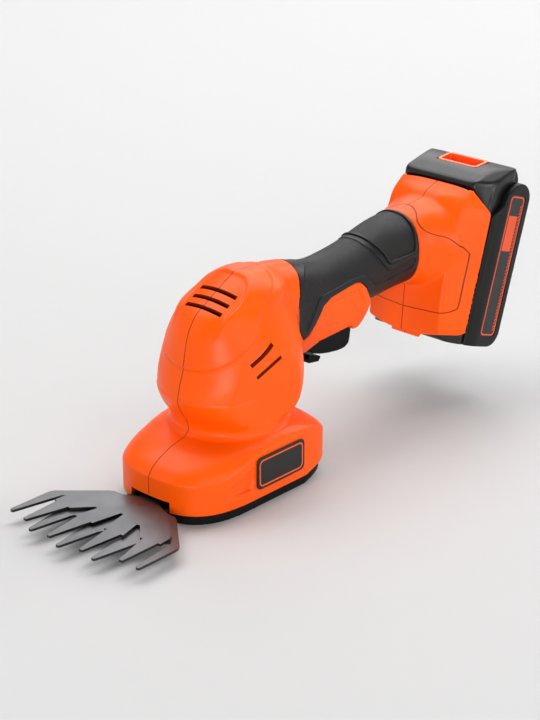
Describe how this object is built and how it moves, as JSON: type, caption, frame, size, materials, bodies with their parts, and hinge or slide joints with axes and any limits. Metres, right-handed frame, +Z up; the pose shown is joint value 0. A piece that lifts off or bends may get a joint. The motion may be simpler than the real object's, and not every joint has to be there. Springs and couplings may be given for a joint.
{
  "type": "cordless garden shear",
  "caption": "Handheld battery shear with toothed fixed and moving blades, trigger, lock-off, gearbox, soft grip and slide-on battery at the rear of the handle.",
  "frame": {"origin": "on the flat underside of the sole, straight under the blade pivot", "axes": "+Y from the blades to the battery, +X the user's left hand side, +Z up, with the sole flat on the ground"},
  "size_m": [0.1, 0.3644, 0.1422],
  "materials": {
    "orange_abs": "moulded ABS, fine satin texture",
    "black_nylon": "glass-filled nylon, fine spark texture",
    "charcoal_abs": "moulded ABS, satin",
    "soft_rubber": "thermoplastic elastomer, fine dot texture",
    "blade_steel": "stamped and ground tool steel",
    "zinc_steel": "zinc plated",
    "sintered_steel": "sintered, oiled",
    "brass": "hobbed",
    "lead_insulation": "extruded sleeve",
    "lead_insulation_black": "extruded sleeve",
    "cell_wrap": "shrink film",
    "board_green": "solder mask"
  },
  "bodies": {
    "tool_body": {"housing_left": "orange_abs", "housing_right": "orange_abs", "soft_grip_left": "soft_rubber", "soft_grip_right": "soft_rubber", "side_plate_left": "charcoal_abs", "side_plate_right": "charcoal_abs", "sole_cover": "black_nylon", "fixed_blade": "blade_steel", "blade_carrier": "black_nylon", "blade_guide": "black_nylon", "blade_screw_left": "zinc_steel", "blade_screw_right": "zinc_steel", "pivot_bolt": "zinc_steel", "pivot_washer": "zinc_steel", "crank_bearing": "zinc_steel", "compound_axle": "zinc_steel", "gear_case": "charcoal_abs", "motor_plate": "zinc_steel", "motor_can": "zinc_steel", "motor_end_bell": "black_nylon", "motor_screw_left": "zinc_steel", "motor_screw_right": "zinc_steel", "trigger_spring": "zinc_steel", "switch_body": "black_nylon", "lock_off_spring": "zinc_steel", "latch_spring": "zinc_steel", "terminal_block": "black_nylon", "battery_lead": "lead_insulation", "motor_lead": "lead_insulation", "return_lead": "lead_insulation_black", "housing_screw_foot": "zinc_steel", "housing_screw_front": "zinc_steel", "housing_screw_grip": "zinc_steel", "housing_screw_head": "zinc_steel", "housing_screw_neck": "zinc_steel"},
    "cutter": {"moving_blade": "blade_steel"},
    "crank": {"crank_gear": "sintered_steel", "crank_shaft": "zinc_steel"},
    "idler": {"compound_gear": "sintered_steel"},
    "rotor": {"motor_rotor": "sintered_steel", "motor_pinion": "brass"},
    "trigger_lever": {"trigger": "black_nylon"},
    "plunger": {"switch_plunger": "charcoal_abs"},
    "lock_off": {"lock_off_button": "black_nylon"},
    "latch": {"sole_latch": "black_nylon"},
    "battery": {"battery_case_front": "black_nylon", "battery_case_rear": "charcoal_abs", "battery_label_left": "black_nylon", "battery_label_right": "black_nylon", "battery_cell_1": "cell_wrap", "battery_cell_2": "cell_wrap", "battery_cell_3": "cell_wrap", "battery_cell_4": "cell_wrap", "battery_cell_5": "cell_wrap", "battery_board": "board_green", "battery_button_spring": "zinc_steel"},
    "battery_button": {"battery_release_button": "orange_abs"}
  },
  "joints": [
    {"name": "rotor_turn", "type": "hinge", "parent": "tool_body", "child": "rotor", "pos_m": [0, 0.02, 0.05], "axis": [0, 0, 1], "range_deg": [-1444, 836]},
    {"name": "crank_turn", "type": "hinge", "parent": "tool_body", "child": "crank", "pos_m": [0, 0.02, 0.02], "axis": [0, 0, 1], "range_deg": [-114.5, 66.5]},
    {"name": "idler_turn", "type": "hinge", "parent": "tool_body", "child": "idler", "pos_m": [0, 0.04, 0.02], "axis": [0, 0, 1], "range_deg": [-209.5, 361.5]},
    {"name": "blade_swing", "type": "hinge", "parent": "tool_body", "child": "cutter", "pos_m": [0, 0, 0.0098], "axis": [0, 0, 1], "range_deg": [-8.1, 4.7]},
    {"name": "trigger_pull", "type": "hinge", "parent": "tool_body", "child": "trigger_lever", "pos_m": [0, 0.0812, 0.0722], "axis": [1, 0, 0], "range_deg": [0, 8], "stiffness_Nm_per_rad": 0.8, "springref_deg": -5.73, "deforming": ["trigger_spring"]},
    {"name": "switch_press", "type": "slide", "parent": "tool_body", "child": "plunger", "axis": [0, 0, 1], "range_m": [0, 0.0035]},
    {"name": "lock_slide", "type": "slide", "parent": "tool_body", "child": "lock_off", "axis": [0, -1, 0], "range_m": [0, 0.004], "stiffness_N_per_m": 200, "springref_m": -0.003, "deforming": ["lock_off_spring"]},
    {"name": "latch_slide", "type": "slide", "parent": "tool_body", "child": "latch", "axis": [0, -1, 0], "range_m": [0, 0.003], "stiffness_N_per_m": 300, "springref_m": -0.002, "deforming": ["latch_spring"]},
    {"name": "battery_slide", "type": "slide", "parent": "tool_body", "child": "battery", "axis": [0, 0.309, 0.9511], "range_m": [0, 0.09]},
    {"name": "battery_button_press", "type": "slide", "parent": "battery", "child": "battery_button", "axis": [0, -0.309, -0.9511], "range_m": [0, 0.0025], "stiffness_N_per_m": 400, "springref_m": -0.002, "deforming": ["battery_button_spring"]}
  ],
  "couplings": [
    {"joint": "crank_turn", "follows": "rotor_turn", "ratio": 0.078947},
    {"joint": "idler_turn", "follows": "rotor_turn", "ratio": -0.25},
    {"joint": "blade_swing", "follows": "rotor_turn", "ratio": 0.0055263},
    {"joint": "switch_press", "follows": "trigger_pull", "m_per_rad": 0.0245}
  ]
}
